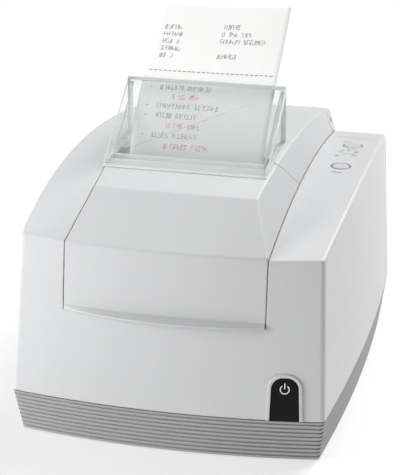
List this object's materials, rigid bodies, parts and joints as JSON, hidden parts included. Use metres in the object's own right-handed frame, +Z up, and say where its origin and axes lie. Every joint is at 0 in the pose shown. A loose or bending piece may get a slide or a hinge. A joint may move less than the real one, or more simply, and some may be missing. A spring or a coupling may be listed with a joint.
{
  "type": "receipt printer",
  "caption": "Compact counter receipt printer with raised clamshell top, clear splash guard, slot with a standing receipt, side control pod and arched front power button.",
  "frame": {"origin": "on the surface the printer stands on, under the centre of its bounding box", "axes": "+X to the right of someone facing the printer, +Y to its rear, +Z up"},
  "size_m": [0.1934, 0.2362, 0.2176],
  "materials": {
    "case_plastic": "fine texture, satin",
    "base_plastic": "fine texture, matt",
    "foot_rubber": "matt",
    "screw_steel": "zinc plated",
    "bezel_plastic": "satin",
    "power_plastic": "high gloss",
    "switch_plastic": "matt",
    "blade_steel": "ground edge",
    "pin_steel": "turned",
    "guard_clear": "polished clear plastic",
    "receipt_paper": "uncoated, printed",
    "button_plastic": "satin",
    "light_pipe": "clear, tinted",
    "circuit_board": "solder mask",
    "chip_black": "moulded",
    "plate_steel": "plated sheet",
    "socket_black": "moulded",
    "socket_metal": "plated",
    "carriage_black": "moulded",
    "cartridge_plastic": "satin",
    "latch_green": "satin",
    "belt_rubber": "ribbed",
    "gear_plastic": "acetal",
    "motor_steel": "plated can",
    "platen_plastic": "ribbed",
    "web_paper": "uncoated",
    "roller_rubber": "ground",
    "core_card": "wound",
    "bucket_plastic": "matt"
  },
  "bodies": {
    "frame": {"base_tray": "base_plastic", "rubber_feet": "foot_rubber", "case_screws": "screw_steel", "main_case": "case_plastic", "power_bezel": "bezel_plastic", "power_switch": "switch_plastic", "hinge_pin": "pin_steel", "status_lights": "light_pipe", "control_board": "circuit_board", "panel_switches": "switch_plastic", "main_board": "circuit_board", "board_chips": "chip_black", "interface_plate": "plate_steel", "power_inlet": "socket_black", "network_port": "socket_metal", "cash_drawer_port": "socket_black", "chassis": "plate_steel", "chassis_screws": "screw_steel", "carriage_rod": "pin_steel", "guide_rail": "plate_steel", "carriage_belt": "belt_rubber", "idler_axle": "pin_steel", "carriage_motor": "motor_steel", "platen": "platen_plastic", "paper_guide": "platen_plastic", "paper_web": "web_paper", "pinch_shaft": "pin_steel", "idler_stud": "pin_steel", "feed_motor": "motor_steel", "motor_bracket": "plate_steel", "service_cap": "roller_rubber", "wiper_blade": "roller_rubber", "roll_spindle": "pin_steel", "paper_bucket": "bucket_plastic"},
    "front_cover": {"front_cover": "case_plastic"},
    "rear_cover": {"rear_cover": "case_plastic", "tear_bar": "blade_steel", "splash_guard": "guard_clear", "receipt": "receipt_paper"},
    "power_button": {"power_button": "power_plastic"},
    "reset_button": {"reset_button": "button_plastic"},
    "feed_button": {"feed_button": "button_plastic"},
    "carriage": {"carriage": "carriage_black", "ink_cartridge": "cartridge_plastic"},
    "cartridge_latch": {"cartridge_latch": "latch_green"},
    "drive_pulley": {"drive_pulley": "gear_plastic"},
    "idler_pulley": {"idler_pulley": "gear_plastic"},
    "feed_roller": {"feed_shaft": "pin_steel", "feed_rollers": "roller_rubber", "feed_gear": "gear_plastic"},
    "idler_gear": {"idler_gear": "gear_plastic"},
    "motor_pinion": {"motor_pinion": "gear_plastic"},
    "pinch_rollers": {"pinch_rollers": "roller_rubber"},
    "paper_roll": {"paper_roll": "web_paper", "roll_core": "core_card"}
  },
  "joints": [
    {"name": "front_cover_hinge", "type": "hinge", "parent": "frame", "child": "front_cover", "pos_m": [0, 0.1103, 0.1326], "axis": [-1, 0, 0], "range_deg": [0, 60]},
    {"name": "rear_cover_hinge", "type": "hinge", "parent": "front_cover", "child": "rear_cover", "pos_m": [0, 0.1103, 0.1326], "axis": [-1, 0, 0], "range_deg": [0, 70]},
    {"name": "power_button_press", "type": "slide", "parent": "frame", "child": "power_button", "axis": [-0.1327, 0.9814, -0.1391], "range_m": [0, 0.0012], "stiffness_N_per_m": 900},
    {"name": "reset_button_press", "type": "slide", "parent": "frame", "child": "reset_button", "axis": [0, 0, -1], "range_m": [0, 0.001], "stiffness_N_per_m": 900},
    {"name": "feed_button_press", "type": "slide", "parent": "frame", "child": "feed_button", "axis": [0, 0, -1], "range_m": [0, 0.001], "stiffness_N_per_m": 900},
    {"name": "carriage_travel", "type": "slide", "parent": "frame", "child": "carriage", "axis": [1, 0, 0], "range_m": [-0.099, 0]},
    {"name": "cartridge_latch_hinge", "type": "hinge", "parent": "carriage", "child": "cartridge_latch", "pos_m": [0.062, -0.075, 0.1082], "axis": [1, 0, 0], "range_deg": [0, 20]},
    {"name": "drive_pulley_spin", "type": "hinge", "parent": "frame", "child": "drive_pulley", "pos_m": [-0.047, -0.0887, 0.056], "axis": [0, 1, 0], "range_deg": [-960, 15]},
    {"name": "idler_pulley_spin", "type": "hinge", "parent": "frame", "child": "idler_pulley", "pos_m": [0.075, -0.0887, 0.056], "axis": [0, 1, 0], "range_deg": [-960, 15]},
    {"name": "feed_roller_spin", "type": "hinge", "parent": "frame", "child": "feed_roller", "pos_m": [0, -0.0234, 0.116], "axis": [1, 0, 0], "continuous": true},
    {"name": "idler_gear_spin", "type": "hinge", "parent": "frame", "child": "idler_gear", "pos_m": [-0.06, -0.0234, 0.089], "axis": [1, 0, 0], "continuous": true},
    {"name": "motor_pinion_spin", "type": "hinge", "parent": "frame", "child": "motor_pinion", "pos_m": [-0.06, -0.0234, 0.071], "axis": [1, 0, 0], "continuous": true},
    {"name": "pinch_roller_spin", "type": "hinge", "parent": "frame", "child": "pinch_rollers", "pos_m": [0, -0.0347, 0.116], "axis": [1, 0, 0], "continuous": true},
    {"name": "paper_roll_spin", "type": "hinge", "parent": "frame", "child": "paper_roll", "pos_m": [0, 0.055, 0.072], "axis": [1, 0, 0], "continuous": true}
  ],
  "couplings": [
    {"joint": "drive_pulley_spin", "follows": "carriage_travel", "rad_per_m": 166.67},
    {"joint": "idler_pulley_spin", "follows": "carriage_travel", "rad_per_m": 166.67},
    {"joint": "feed_roller_spin", "follows": "paper_roll_spin", "ratio": 5.3077},
    {"joint": "idler_gear_spin", "follows": "paper_roll_spin", "ratio": -6.6346},
    {"joint": "motor_pinion_spin", "follows": "paper_roll_spin", "ratio": 13.269},
    {"joint": "pinch_roller_spin", "follows": "paper_roll_spin", "ratio": -8.625}
  ]
}
